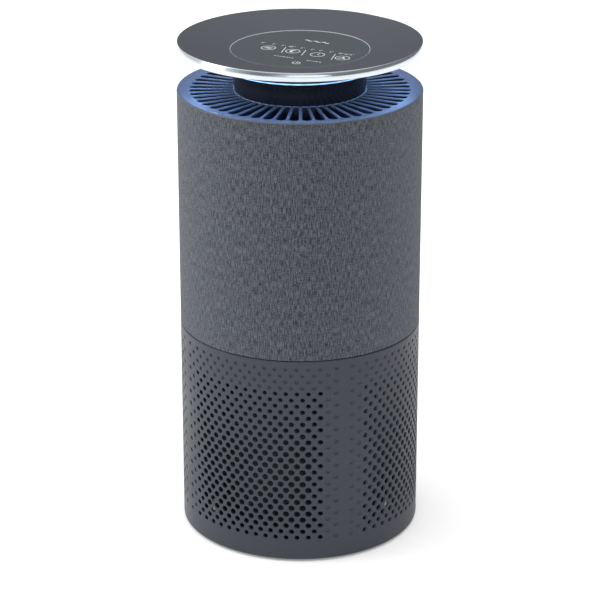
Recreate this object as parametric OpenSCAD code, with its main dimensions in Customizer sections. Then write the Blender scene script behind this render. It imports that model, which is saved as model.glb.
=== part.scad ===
// Round air purifier: 360 degree inlet at the base, cartridge filter, centrifugal fan,
// ring outlet under a raised touch disc. Millimetres, +Z up, the front faces -Y.
// The origin is the centre of the footprint, on the surface that the feet stand on.

/* [Body] */
// Outer radius of the body and of the top disc
body_r = 126; // [124:0.5:128]
// Overall height, from the floor to the disc's rim
body_h = 528; // [526:1:536]
// Height of the seam between the perforated shell and the fabric band
seam_z = 226; // [226:0.5:227]
// Height of the outlet grille's flat ring
outlet_z = 476.8; // [475.8:0.1:477.6]
// Wall thickness of the moulded shells
wall = 2.2; // [2:0.1:2.4]
// Thickness of the fabric band
fabric_t = 1.1; // [0.8:0.1:1.2]

/* [Inlet holes] */
// Diameter of the full-size inlet holes
hole_d = 6.2; // [3:0.1:6.4]
// Side to side pitch of the hole columns
hole_pitch_x = 5.33; // [5:0.01:5.4]
// Pitch of the holes within a column
hole_pitch_z = 13.52; // [13:0.01:13.6]
// Height of the lowest hole of the odd columns
first_hole_z = 28; // [27:0.5:29]
// Columns to each side of the middle one, in each of the four fields
side_columns = 12; // [4:2:12]
// Hole step: 1 makes every hole, 2 every second column and every second hole in it
hole_step = 2; // [1, 2]

/* [Filter] */
// Outer radius of the filter cartridge
filter_r = 90.8; // [86:0.2:91]
// Number of pleats
pleats = 72; // [36:12:96]

/* [Fan] */
// Outer radius of the impeller
fan_r = 88; // [84:1:90]
// Number of impeller blades
blades = 9; // [7:1:11]
// Number of diffuser vanes
vanes = 11; // [7:2:13]

/* [Outlet] */
// Number of slots round the outlet grille
slots = 52; // [36:4:56]
// Thickness of each rib between two slots
rib_t = 3.4; // [2.6:0.1:3.8]
// Radius of the outer ends of the slots
slot_r = 113; // [110:0.5:114]
// Radius of the grille's hub
hub_r = 68.5; // [68:0.1:69.5]

/* [Top disc] */
// Height of the polished rim band
rim_h = 8.8; // [8:0.1:9.2]
// Radius of the flat touch panel
panel_r = 70.7; // [66:0.1:72]
// Depth of the dish from the rim to the touch panel
dish_depth = 9.8; // [8.5:0.1:10]
// Outer radius of the light ring under the disc
light_r = 79; // [78:0.5:80]

/* [Hidden] */

fine = 128;                       // $fn of large round surfaces
small = 32;                       // $fn of small round surfaces
eps = 0.02;                       // run-through of a cut past a face
gap = 0.3;                        // gap between curved faces that face each other
tap_r = 1.6;                      // screw hole in a boss
pass_r = 1.9;                     // screw hole in the part that a screw clamps

shell_in = body_r - wall;         // inside of the perforated shell
base_z = 2.4;                     // underside of the base, above the floor
deck_z = 217.2;                   // underside of the fan deck
deck_t = 3;
door_r = 91.7;                    // door disc
catch_r = 92.4;                   // inside of the bayonet catches
lug_r = 96;                       // outside of the door's lugs
catches = 4;
screw_r = 117;                    // radius of the base and deck screws
foot_r = 108;                     // radius of the four feet
web_r = 93.5;                     // inner edge of the shell's upright webs
filter_z0 = 14;                   // underside of the cartridge
filter_z1 = 212.6;                // top of the cartridge's upper cap
inlet_z = 13.2;                   // middle of the mains socket
inlet_w = 26.6;                   // opening in the shell for the mains socket
inlet_h = 14.4;
shaft_r = 3;                      // motor shaft
bore_r = 48;                      // clean-air bore of the cartridge
throat_r = 58;                    // bell mouth throat
duct_r = 97;                      // inside of the duct at the fan
duct_top_r = 112.6;               // inside of the duct at the grille
rib_h = 25;                       // depth of the grille's ribs
grille_z0 = outlet_z - rib_h;
sleeve_top = outlet_z - 1.0;
upper_r = body_r - fabric_t - gap / 3;   // outside of the shell behind the fabric
upper_in = upper_r - wall;
wire_r = 1.3;                     // insulated wire
vane_lean = 32;                   // lean of the diffuser's vanes from the vertical
rim_z = body_h - rim_h;           // underside of the rim band
panel_z = body_h - dish_depth;    // top of the touch panel
neck_r = 67;                      // pedestal where it meets the grille

// ---- small shared shapes ----

module ring(r_out, r_in, z0, z1, n = fine) {
  rotate_extrude($fn = n) polygon([[r_in, z0], [r_out, z0], [r_out, z1], [r_in, z1]]);
}

module turned(points, n = fine) {
  rotate_extrude($fn = n) polygon(points);
}

module disc(r, z0, z1, n = fine) {
  translate([0, 0, z0]) cylinder(r = r, h = z1 - z0, $fn = n);
}

module around(count, radius, start = 0) {
  for (i = [0:count - 1]) rotate([0, 0, start + i * 360 / count]) translate([radius, 0, 0]) children();
}

module block(x0, x1, y0, y1, z0, z1) {
  translate([x0, y0, z0]) cube([x1 - x0, y1 - y0, z1 - z0]);
}

// A pan-head screw whose head sits at z and whose shank points up (way = 1) or down (way = -1).
module screw(z, length, shank_r = 1.5, head_r = 2.9, head_h = 1.9, way = 1) {
  translate([0, 0, z]) mirror([0, 0, way > 0 ? 0 : 1]) difference() {
    union() {
      cylinder(r = head_r, h = head_h, $fn = small);
      translate([0, 0, head_h - eps]) cylinder(r = shank_r, h = length, $fn = small);
    }
    translate([0, 0, -eps]) cylinder(r = 1.3, h = 1.2, $fn = 6);
  }
}

// Points of an arc, centre [x, z], from angle a0 to a1 in n steps.
function arc(x, z, r, a0, a1, n) = [for (i = [0:n]) let (a = a0 + (a1 - a0) * i / n)
  [x + r * cos(a), z + r * sin(a)]];

// ---- base and door ----

module rubber_feet() color([0.10, 0.10, 0.11]) around(4, foot_r) difference() {
  union() {
    turned([[0, 0], [7.6, 0], [9, 1], [9, base_z], [0, base_z]], small);
    disc(2.7, base_z - eps, base_z + 3.4, small);
  }
  translate([0, 0, -eps]) cylinder(r = 3.2, h = 0.8, $fn = small);
}

// The bottom plate, its outer and inner walls, and the bayonet ledge under the door's lugs. The
// ledge has one entry notch for each lug, and a stop that keeps the closed door from turning on.
module base_ring() color([0.13, 0.13, 0.14]) difference() {
  union() {
    turned([[catch_r, base_z], [shell_in - 0.5, base_z], [shell_in - 0.5, 16.6], [shell_in - 2.5, 16.6],
      [shell_in - 2.5, base_z + 3], [99, base_z + 3], [99, 12], [97, 12], [97, base_z + 2.8],
      [catch_r, base_z + 2.8]]);
    for (i = [0:catches - 1]) rotate([0, 0, i * 360 / catches - 11]) rotate_extrude(angle = 2, $fn = fine)
      polygon([[lug_r - 2, base_z + 1], [98, base_z + 1], [98, 10.4], [lug_r - 2, 10.4]]);
    around(4, screw_r, 45) disc(5.4, base_z + 1, 16, small);
    for (a = [22.5:45:337.5]) rotate([0, 0, a]) block(98, shell_in - 1.5, -1, 1, base_z + 1, 11);
  }
  for (i = [0:catches - 1]) rotate([0, 0, (i + 0.25) * 360 / catches - 10])
    rotate_extrude(angle = 20, $fn = fine)
      polygon([[catch_r - 1, base_z - 1], [lug_r + 0.5, base_z - 1], [lug_r + 0.5, 11], [catch_r - 1, 11]]);
  around(4, foot_r) disc(2.8, base_z - 1, base_z + 4.8, small);
  around(4, screw_r, 45) disc(pass_r, base_z - 1, 20, small);
  around(4, screw_r, 45) disc(3.3, base_z - 1, base_z + 3, small);
  block(-16.2, 16.2, 100, body_r, base_z + 3.2, 24);
}

module base_screws() color([0.55, 0.56, 0.58]) around(4, screw_r, 45) screw(base_z + 1, 22);

module filter_door() color([0.15, 0.15, 0.16]) difference() {
  union() {
    disc(door_r, base_z + 0.3, base_z + 3.1);
    ring(84, 81.5, base_z + 2.6, 13.6);
    ring(62, 60, base_z + 2.6, 13.6);
    ring(41, 38.5, base_z + 0.3, 17);
    disc(41, 15, 17);
    for (i = [0:catches - 1]) rotate([0, 0, i * 360 / catches - 8])
      rotate_extrude(angle = 16, $fn = fine)
        polygon([[88, base_z + 3], [lug_r, base_z + 3.2], [lug_r, base_z + 6], [88, base_z + 6]]);
    for (a = [45:90:315]) rotate([0, 0, a]) block(40.5, 61, -1, 1, base_z + 2.6, 12);
  }
  difference() {
    disc(38.5, 0, 15);
    block(-40, 40, -6, 6, base_z + 0.3, 16);
  }
}

module door_gasket() color([0.20, 0.20, 0.21]) ring(79, 66, base_z + 3.2, 13.4);

// ---- filter cartridge ----

module filter_lower_cap() color([0.16, 0.18, 0.20]) difference() {
  union() {
    disc(filter_r, filter_z0, filter_z0 + 2);
    ring(filter_r, filter_r - 1.6, filter_z0, filter_z0 + 9);
    ring(bore_r + 1.5, bore_r, filter_z0, filter_z0 + 9);
  }
  disc(44, filter_z0 - 1, filter_z0 + 3);
}

module filter_upper_cap() color([0.16, 0.18, 0.20]) union() {
  ring(filter_r, bore_r, filter_z1 - 2, filter_z1);
  ring(filter_r, filter_r - 1.6, filter_z1 - 9, filter_z1);
  ring(bore_r + 1.5, bore_r, filter_z1 - 9, filter_z1);
}

module pleat_outline(r_out, r_in, count, t) {
  polygon([for (i = [0:2 * count - 1]) let (a = i * 180 / count, r = i % 2 == 0 ? r_out : r_in)
    [r * cos(a), r * sin(a)]]);
}

module filter_pleats() color([0.93, 0.94, 0.92])
  translate([0, 0, filter_z0 + 2.1]) linear_extrude(height = filter_z1 - filter_z0 - 4.2) difference() {
    pleat_outline(filter_r - 3.2, filter_r - 27, pleats);
    pleat_outline(filter_r - 5.2, filter_r - 29.4, pleats);
  }

module filter_carbon() color([0.12, 0.12, 0.12])
  ring(bore_r + 7, bore_r + 1.7, filter_z0 + 2.1, filter_z1 - 2.1);

module filter_prefilter() color([0.30, 0.31, 0.32])
  ring(filter_r - 1.8, filter_r - 2.8, filter_z0 + 2.1, filter_z1 - 2.1);

module filter_seal() color([0.22, 0.22, 0.23]) ring(84, 62, filter_z1, deck_z - 0.3);

module filter_pull_tab() color([0.75, 0.22, 0.18])
  block(-9, 9, 45.5, 58.5, filter_z0 - 1.2, filter_z0);

// ---- perforated shell ----

// The holes get smaller towards the top and the bottom of a field, and at its two sides.
function hole_size(k, z) = min(hole_d - 0.0268 * max(0, z - 118) - 0.068 * max(0, 49 - z),
  abs(k) >= side_columns ? 4.9 : hole_d);

// One field of holes, all drilled along the field's own direction. Even columns are half a pitch higher.
module hole_field() {
  rotate([90, 0, 0]) linear_extrude(height = body_r + 4)
    for (k = [-side_columns:hole_step:side_columns]) {
      first = (k / hole_step) % hole_step == 0 ? 0 : 1;
      for (j = [first:hole_step:11]) {
        z = first_hole_z + hole_pitch_z * (j + (k % 2 == 0 ? 0.5 : 0));
        translate([hole_pitch_x * k, z]) circle(d = hole_size(k, z), $fn = small);
      }
    }
}

module inlet_shell() color([0.30, 0.31, 0.34]) difference() {
  union() {
    difference() {
      turned(concat([[0, base_z]], arc(body_r - 2, base_z + 2, 2, -90, 0, 6),
        [[body_r, seam_z - 0.6], [body_r - 0.6, seam_z], [0, seam_z]]));
      disc(shell_in, 0, seam_z + 1);
      for (a = [0:90:270]) rotate([0, 0, a]) hole_field();
    }
    ring(shell_in + eps, shell_in - 2.6, deck_z - 4, deck_z);
    // Webs behind the four plain strips, so that nobody sees straight through two fields of holes.
    for (a = [45:90:315]) rotate([0, 0, a]) block(web_r, shell_in + 0.3, -1.5, 1.5, 29.9, deck_z - 13.9);
    around(4, screw_r, 45) difference() {
      union() {
        disc(5, 17, 30, small);
        block(0, 7.5, -1.5, 1.5, 17, 30);
      }
      disc(tap_r, 16, 28, small);
    }
    around(4, screw_r, 45) difference() {
      union() {
        disc(5, deck_z - 14, deck_z, small);
        block(0, 7.5, -1.5, 1.5, deck_z - 14, deck_z);
      }
      disc(tap_r, deck_z - 12, deck_z + 1, small);
    }
  }
  block(-inlet_w / 2, inlet_w / 2, 112, body_r + 2, inlet_z - inlet_h / 2, inlet_z + inlet_h / 2);
}

// ---- power inlet and mains lead ----

module power_inlet() color([0.07, 0.07, 0.08]) difference() {
  union() {
    block(-15.5, 15.5, shell_in - 3.4, shell_in - 1.4, inlet_z - 7.6, inlet_z + 8.6);
    block(-inlet_w / 2 + 0.2, inlet_w / 2 - 0.2, 104.6, body_r - 1, inlet_z - 7, inlet_z + 7);
  }
  for (x = [-4.2, 4.2]) translate([x, body_r, inlet_z]) rotate([90, 0, 0])
    cylinder(r = 4.4, h = 17, $fn = small);
  block(-4.2, 4.2, body_r - 17, body_r, inlet_z - 3.9, inlet_z + 3.9);
  for (x = [-4.3, 4.3]) translate([x, body_r, inlet_z]) rotate([90, 0, 0])
    cylinder(r = 1.25, h = 24, $fn = small);
}

module inlet_pins() color([0.80, 0.78, 0.70]) for (x = [-4.3, 4.3])
  translate([x, body_r - 4, inlet_z]) rotate([90, 0, 0]) cylinder(r = 1.2, h = 19, $fn = small);

// Two insulated wires: from the pins inwards, up past the filter and through the fan deck.
module mains_lead() color([0.20, 0.20, 0.21]) for (x = [-4.3, 4.3]) {
  wire(x, 101.6, 103, inlet_z);
  translate([x, 101.6, inlet_z - wire_r]) cylinder(r = wire_r, h = 31 - inlet_z + wire_r, $fn = small);
  wire(x, 101.6, 118.6, 29.7);
  translate([x, 118.6, 28.4]) cylinder(r = wire_r, h = 207, $fn = small);
}

module wire(x, y0, y1, z) {
  translate([x, y0, z]) rotate([-90, 0, 0]) cylinder(r = wire_r, h = y1 - y0, $fn = small);
}

module lead_cover() color([0.20, 0.20, 0.22]) difference() {
  block(-9, 9, 115, 121.6, 34, 212);
  block(-7.4, 7.4, 116.4, 123, 33, 213);
}

// ---- fan deck ----

module bell_mouth() turned(concat([[throat_r + 10, deck_z], [throat_r + 10, deck_z + deck_t]],
  [[throat_r + 9, deck_z + deck_t]], arc(throat_r + 9, deck_z + 9, 6, 270, 190, 6),
  [[throat_r + 2.6, 231.6], [throat_r, 231.6]], arc(throat_r + 9, deck_z + 9, 9, 180, 270, 8)));

module fan_deck() color([0.16, 0.17, 0.18]) difference() {
  union() {
    ring(shell_in - 0.4, throat_r + 9.5, deck_z, deck_z + deck_t);
    bell_mouth();
  }
  around(4, screw_r, 45) disc(pass_r, deck_z - 1, deck_z + deck_t + 1, small);
  around(6, 103.5) disc(tap_r, deck_z - 1, deck_z + deck_t + 1, small);
  block(-8, 8, 114.4, 121, deck_z - 1, deck_z + deck_t + 1);
}

module deck_screws() color([0.55, 0.56, 0.58]) around(4, screw_r, 45)
  screw(deck_z + deck_t + 1.9, 12, way = -1);

module inlet_guard() color([0.14, 0.14, 0.15]) union() {
  for (r = [12:9:57]) ring(r + 0.8, r - 0.8, 224.6, 226.6, 96);
  disc(6, 224.6, 226.6, small);
  for (a = [0:60:300]) rotate([0, 0, a]) block(5, 57, -0.9, 0.9, 222.6, 226.6);
}

// ---- fan and motor ----

module blade_outline() {
  n = 8;
  lead = [for (i = [0:n]) let (t = i / n, r = 50 + (fan_r - 51) * t, a = -38 * t * (1.25 - 0.25 * t))
    [r * cos(a), r * sin(a)]];
  trail = [for (i = [n:-1:0]) let (t = i / n, r = 50 + (fan_r - 51) * t, a = -38 * t * (1.25 - 0.25 * t) + 1.9)
    [r * cos(a), r * sin(a)]];
  polygon(concat(lead, trail));
}

module impeller() color([0.22, 0.23, 0.25]) difference() {
  union() {
    turned([[0, 243], [14, 243.6], [27, 247.4], [37, 254], [37, 283], [fan_r, 283], [fan_r, 285], [34.1, 285],
      [34.1, 252], [0, 252]]);
    turned([[61.2, 227], [62.8, 227], [63.4, 233.4], [fan_r, 241], [fan_r, 242.8], [61.9, 235.2], [61.2, 233]]);
    for (i = [0:blades - 1]) rotate([0, 0, i * 360 / blades]) intersection() {
      translate([0, 0, 232]) linear_extrude(height = 52) blade_outline();
      turned([[40, 240], [61.9, 234.6], [fan_r - 0.2, 242.2], [fan_r - 0.2, 284], [40, 284]]);
    }
  }
  disc(shaft_r, 245, 256, small);
}

module motor_shaft() color([0.78, 0.79, 0.80]) disc(shaft_r, 246, 296, small);

module rotor_can() color([0.50, 0.51, 0.54]) difference() {
  disc(34, 253, 287);
  disc(32.4, 255, 288);
  disc(shaft_r, 252, 256, small);
  around(6, 20) disc(4, 252, 256, small);
}

module rotor_magnets() color([0.24, 0.24, 0.26]) ring(32.35, 30.4, 261, 284);

module motor_bearings() color([0.72, 0.73, 0.75]) for (z = [258.4, 288])
  ring(8, 3.04, z, z + 5, small);

module stator_core() color([0.42, 0.43, 0.45]) difference() {
  union() {
    disc(15, 262, 283, 64);
    for (a = [0:40:320]) rotate([0, 0, a]) block(12, 27, -2.2, 2.2, 262, 283);
    for (a = [0:40:320]) rotate([0, 0, a - 16]) rotate_extrude(angle = 32, $fn = fine)
      polygon([[26.4, 262], [29.6, 262], [29.6, 283], [26.4, 283]]);
  }
  disc(11.1, 261, 284, 64);
}

module stator_windings() color([0.72, 0.42, 0.20]) for (a = [0:40:320]) rotate([0, 0, a]) difference() {
  block(16.4, 25.6, -4.3, 4.3, 259.8, 285.2);
  block(16, 26, -2.3, 2.3, 261.9, 283.1);
}

module motor_mount() color([0.62, 0.63, 0.65]) difference() {
  union() {
    disc(43, 296, 299);
    disc(11, 257, 297, 64);
  }
  disc(8.05, 256, 294, 64);
  disc(5, 290, 300, small);
  around(4, 36) disc(3.1, 295, 300, small);
}

module motor_bushes() color([0.11, 0.11, 0.12]) around(4, 36) difference() {
  union() {
    disc(3, 294.6, 301.8, small);
    disc(5, 299, 301.8, small);
    disc(5, 293.4, 296, small);
  }
  disc(1.7, 293, 303, small);
}

module motor_screws() color([0.55, 0.56, 0.58]) around(4, 36) screw(291.5, 17, head_r = 3.4);

module fan_housing() color([0.19, 0.20, 0.22]) difference() {
  turned([[duct_r, 220.4], [107.6, 220.4], [107.6, 223], [duct_r + 2, 223], [duct_r + 2, 344],
    [duct_top_r + 2, 400], [duct_top_r + 2, grille_z0 - 0.2], [duct_top_r, grille_z0 - 0.2],
    [duct_top_r, 401], [duct_r, 345]]);
  around(6, 103.5) disc(pass_r, 220, 224, small);
}

module housing_screws() color([0.55, 0.56, 0.58]) around(6, 103.5) screw(224.9, 5.6, way = -1);

module diffuser() color([0.26, 0.27, 0.29]) difference() {
  union() {
    turned([[0, 302], [45.4, 302], [45.4, 290], [47.4, 290], [47.4, 345], [45.4, 345], [45.4, 304.4],
      [0, 304.4]]);
    ring(duct_r - 0.1, duct_r - 2, 300, 342);
    for (i = [0:vanes - 1]) rotate([0, 0, i * 360 / vanes]) intersection() {
      translate([0, 0, 321.5]) rotate([vane_lean, 0, 0]) block(46.8, 96, -1, 1, -25, 25);
      ring(duct_r - 1.6, 46.6, 302, 341);
    }
    around(4, 36) disc(4.2, 304, 312, small);
  }
  around(4, 36) disc(tap_r, 301, 311, small);
  disc(6, 301, 306, small);
}

module flow_cone() color([0.24, 0.25, 0.27]) turned([[46, 345.2], [48, 345.2], [68.3, 432],
  [68.3, grille_z0 - 0.2], [66.3, grille_z0 - 0.2], [66.3, 432.6]]);

// ---- electronics ----

module power_board() color([0.10, 0.33, 0.20]) block(-36, 36, 108.2, 109.8, 236, 330);

module power_board_parts() color([0.20, 0.20, 0.22]) {
  block(-30, -8, 109.9, 117, 296, 322);
  block(0, 14, 109.9, 117.6, 300, 320);
  for (x = [-24, -12, 2]) translate([x, 109.9, 274]) rotate([-90, 0, 0]) cylinder(r = 4.6, h = 8, $fn = small);
  block(16, 32, 109.9, 116, 262, 282);
  block(-14, 10, 109.9, 115.4, 240, 252);
}

module main_board() color([0.10, 0.33, 0.20]) difference() {
  disc(56, 460.4, 462);
  disc(6, 460, 463, small);
  around(4, 50, 45) disc(1.7, 460, 463, small);
}

module main_board_parts() color([0.15, 0.15, 0.17]) {
  block(-38, -22, -8, 8, 457.4, 460.3);
  block(18, 42, 6, 16, 453.4, 460.3);
  block(18, 42, -18, -8, 453.4, 460.3);
  around(3, 26, 60) disc(4, 450.4, 460.3, small);
  block(-8, 8, 30, 40, 455, 460.3);
}

module touch_board() color([0.08, 0.14, 0.20]) difference() {
  disc(62, panel_z - 5.6, panel_z - 4);
  around(4, 56, 45) disc(1.7, panel_z - 6, panel_z - 3, small);
}

module touch_board_parts() color([0.20, 0.20, 0.22]) {
  for (x = [-42, -14, 14, 42]) disc_pad(x, 0);
  disc_pad(0, -30);
  block(-12, 12, 18, 24, panel_z - 8.6, panel_z - 5.7);
  block(-7, 7, -12, 2, panel_z - 7.4, panel_z - 5.7);
}

module disc_pad(x, y) translate([x, y, 0]) disc(9, panel_z - 3.9, panel_z - 2.1, small);

module panel_cable() color([0.85, 0.85, 0.86]) block(-6, 6, 20, 21, 462.1, panel_z - 8.7);

// ---- upper body ----

module upper_shell() color([0.20, 0.21, 0.23]) difference() {
  turned([[shell_in - 2.6, deck_z + deck_t + 0.2], [shell_in - 0.5, deck_z + deck_t + 0.2],
    [shell_in - 0.5, seam_z + 0.4], [upper_r, seam_z + 0.4], [upper_r, sleeve_top - 1.8],
    [upper_in, sleeve_top - 1.8], [upper_in, 234], [shell_in - 2.6, 230]]);
  around(4, screw_r, 45) disc(4.6, deck_z + 2, 229, small);
}

module fabric_sleeve() color([0.34, 0.36, 0.39])
  ring(body_r, body_r - fabric_t, seam_z + 0.8, sleeve_top);

// One slot between two ribs: parallel-sided ribs leave a wedge with a round outer end.
module slot_outline() {
  pitch = 360 / slots;
  half_in = hub_r * sin(pitch / 2) - rib_t / 2;
  end_r = (slot_r * sin(pitch / 2) - rib_t / 2) / (1 + sin(pitch / 2));
  end_c = slot_r - end_r;
  polygon([[hub_r, -half_in], [end_c, -end_r], [end_c, end_r], [hub_r, half_in]]);
  translate([end_c, 0]) circle(r = end_r, $fn = small);
}

module outlet_grille() color([0.17, 0.26, 0.45]) difference() {
  union() {
    turned(concat([[hub_r - 2.2, grille_z0], [slot_r + 2, grille_z0], [slot_r + 2, outlet_z - 4],
      [upper_in - 2.4, outlet_z - 4], [upper_in - 2.4, outlet_z - 15], [upper_in - 0.3, outlet_z - 15],
      [upper_in - 0.3, outlet_z - 2.6], [upper_r, outlet_z - 2.6], [upper_r, sleeve_top + 0.1],
      [body_r, sleeve_top + 0.1]], arc(body_r - 2, outlet_z - 0.9, 2, 0, 100, 6),
      [[slot_r + 5, outlet_z], [hub_r, outlet_z], [hub_r - 0.3, outlet_z + 0.4], [hub_r - 1.2, outlet_z + 0.4],
      [hub_r - 1.4, outlet_z - 1.1], [hub_r - 2.2, outlet_z - 1.1]]));
    ring(hub_r - 1, 24, outlet_z - 4, outlet_z - 1.2);
    around(4, 50, 45) disc(4, 462.1, outlet_z - 3.9, small);
  }
  for (i = [0:slots - 1]) rotate([0, 0, i * 360 / slots]) translate([0, 0, grille_z0 - 1])
    linear_extrude(height = rib_h + 4) slot_outline();
  around(4, 50, 45) disc(1.3, 461, outlet_z - 6, small);
  around(4, 58) disc(pass_r, outlet_z - 5, outlet_z, small);
}

// ---- pedestal and top disc ----

// The pedestal flares out from the neck to the disc along an elliptic curve, t from 0 to 1.
// The outside of the wall has inset 0, and its inside has inset 2.
function flare(t, inset) = [neck_r + 1 - inset + (light_r - neck_r - 6 + inset) * (1 - cos(90 * t)),
  outlet_z + 8 + (rim_z - outlet_z - 24.3 + 1.2 * inset) * sin(90 * t)];

module pedestal() color([0.05, 0.05, 0.06]) difference() {
  turned(concat([[52, outlet_z - 1], [neck_r, outlet_z - 1]], [for (i = [0:10]) flare(i / 10, 0)],
    [for (i = [10:-1:0]) flare(i / 10, 2)], [[neck_r - 2, outlet_z + 2], [52, outlet_z + 2]]));
  around(4, 58) disc(tap_r, outlet_z - 2, outlet_z + 3, small);
}

module pedestal_screws() color([0.55, 0.56, 0.58]) around(4, 58) screw(outlet_z - 6, 7.6);

module disc_tray() color([0.07, 0.07, 0.08]) union() {
  turned([[light_r - 21, rim_z - 11.8], [light_r + 0.4, rim_z - 12.7], [light_r + 0.4, rim_z - 14.9],
    [light_r + 2, rim_z - 14.9], [body_r - 2, rim_z + 0.1], [body_r - 1.7, rim_z + 2],
    [body_r - 3.6, rim_z + 2], [light_r + 1.8, rim_z - 10.7], [light_r - 21, rim_z - 10.1]]);
  ring(light_r - 7, light_r - 9, rim_z - 13.8, rim_z - 12.1);
}

module light_ring() color([0.55, 0.80, 1.0]) ring(light_r, light_r - 4.6, rim_z - 16.9, rim_z - 14.1);

module light_board() color([0.10, 0.33, 0.20]) ring(light_r - 0.2, light_r - 4.6, rim_z - 14,
  rim_z - 12.8);

module rim_band() color([0.80, 0.82, 0.85]) turned(concat([[body_r - 1.5, rim_z + 0.1]],
  [[body_r - 0.6, rim_z]], [[body_r, rim_z + 0.8], [body_r, body_h - 0.9]],
  arc(body_r - 0.9, body_h - 0.9, 0.9, 0, 120, 5), [[body_r - 1.7, body_h - 0.7], [body_r - 1.5, body_h - 2]]));

module top_dish() color([0.30, 0.31, 0.34]) turned([[60, panel_z - 3], [60, panel_z - 1.8],
  [panel_r, panel_z - 1.8], [panel_r, panel_z + 0.1], [panel_r + 1.2, panel_z + 0.2],
  [body_r - 3, body_h - 0.6], [body_r - 1.8, body_h - 0.5], [body_r - 1.8, rim_z + 2.2],
  [body_r - 3.4, rim_z + 2.2], [body_r - 3.8, body_h - 3], [panel_r + 2, panel_z - 3]]);

module touch_panel() color([0.35, 0.39, 0.42]) disc(panel_r - 0.25, panel_z - 1.7, panel_z);

rubber_feet();
base_ring();
base_screws();
filter_door();
door_gasket();
filter_lower_cap();
filter_upper_cap();
filter_pleats();
filter_carbon();
filter_prefilter();
filter_seal();
filter_pull_tab();
inlet_shell();
power_inlet();
inlet_pins();
mains_lead();
lead_cover();
fan_deck();
deck_screws();
inlet_guard();
impeller();
motor_shaft();
rotor_can();
rotor_magnets();
motor_bearings();
stator_core();
stator_windings();
motor_mount();
motor_bushes();
motor_screws();
fan_housing();
housing_screws();
diffuser();
flow_cone();
power_board();
power_board_parts();
main_board();
main_board_parts();
upper_shell();
fabric_sleeve();
outlet_grille();
pedestal();
pedestal_screws();
disc_tray();
light_ring();
light_board();
rim_band();
top_dish();
touch_board();
touch_board_parts();
touch_panel();
panel_cable();
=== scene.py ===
"""Air purifier: the looks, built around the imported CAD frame.

Metres, +Z up, the front faces -Y. Every size comes from the frame's boxes or from a named value below.
"""

import math
import random

import bmesh
import bpy
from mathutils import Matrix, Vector


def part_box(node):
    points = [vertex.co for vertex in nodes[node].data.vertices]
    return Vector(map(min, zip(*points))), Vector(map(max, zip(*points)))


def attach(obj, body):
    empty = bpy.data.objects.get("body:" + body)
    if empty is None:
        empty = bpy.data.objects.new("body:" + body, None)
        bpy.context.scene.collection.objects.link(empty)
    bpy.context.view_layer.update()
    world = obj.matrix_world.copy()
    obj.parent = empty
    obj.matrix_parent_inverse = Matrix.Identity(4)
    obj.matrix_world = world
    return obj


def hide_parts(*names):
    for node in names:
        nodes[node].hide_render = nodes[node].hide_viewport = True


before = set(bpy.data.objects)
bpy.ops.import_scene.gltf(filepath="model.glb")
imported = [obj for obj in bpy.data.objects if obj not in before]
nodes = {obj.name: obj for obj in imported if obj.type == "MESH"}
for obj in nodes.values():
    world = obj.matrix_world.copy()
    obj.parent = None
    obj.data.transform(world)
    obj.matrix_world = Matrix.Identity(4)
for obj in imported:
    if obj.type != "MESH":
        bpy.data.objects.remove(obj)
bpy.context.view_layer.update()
MM = 0.001

# ---- sizes taken from the frame ----

shell_lo, shell_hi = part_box("inlet_shell")
sleeve_lo, sleeve_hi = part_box("fabric_sleeve")
grille_lo, grille_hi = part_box("outlet_grille")
ped_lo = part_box("pedestal")[0]
light_lo, light_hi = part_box("light_ring")
rim_lo, rim_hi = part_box("rim_band")
panel_lo, panel_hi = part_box("touch_panel")

BODY_R = shell_hi.x
WALL = 2.2 * MM
SHELL_IN = BODY_R - WALL
WEB_R = 93.5 * MM                       # inner edge of the upright webs behind the plain strips
WEB_HALF = 1.5 * MM
WEB_FOOT = 29.9 * MM                    # the webs start just inside the tops of the base's screw posts
POST_R = 117 * MM                       # the screw posts' distance from the axis
LIP_RISE = 1.1 * MM                     # the lip's crest over the grille's flat ring
OUTLET_Z = grille_hi.z - LIP_RISE
GRILLE_Z0 = grille_lo.z
NECK_R = 67 * MM
PANEL_R = panel_hi.x
DISH_HOLE_R = 60 * MM                   # the opening under the panel
RIM_Z = rim_lo.z
TOP_Z = rim_hi.z
PANEL_Z = panel_hi.z

# ---- mesh helpers ----


def new_object(name, mesh):
    obj = bpy.data.objects.new(name, mesh)
    bpy.context.scene.collection.objects.link(obj)
    return obj


class Welded:
    """Collects faces from points and welds points that are closer than a micrometre."""

    def __init__(self):
        self.points = []
        self.index = {}
        self.faces = []
        self.slots = []

    def point(self, p):
        key = (round(p[0] * 1e6), round(p[1] * 1e6), round(p[2] * 1e6))
        if key not in self.index:
            self.index[key] = len(self.points)
            self.points.append((p[0], p[1], p[2]))
        return self.index[key]

    def face(self, corners, slot=0):
        ids = []
        for p in corners:
            i = self.point(p)
            if i not in ids:
                ids.append(i)
        if len(ids) > 2:
            self.faces.append(ids)
            self.slots.append(slot)

    def bridge(self, a, b, slot=0):
        """Quads between two closed loops of the same number of points."""
        for i in range(len(a)):
            j = (i + 1) % len(a)
            self.face((a[i], a[j], b[j], b[i]), slot)

    def build(self, name, materials, sharp_deg=38):
        mesh = bpy.data.meshes.new(name)
        mesh.from_pydata(self.points, [], self.faces)
        mesh.polygons.foreach_set("material_index", self.slots)
        for m in materials:
            mesh.materials.append(m)
        work = bmesh.new()
        work.from_mesh(mesh)
        bmesh.ops.recalc_face_normals(work, faces=work.faces)
        limit = math.radians(sharp_deg)
        for e in work.edges:
            e.smooth = len(e.link_faces) == 2 and e.calc_face_angle(0) < limit
        for f in work.faces:
            f.smooth = True
        work.to_mesh(mesh)
        work.free()
        return new_object(name, mesh)


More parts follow.
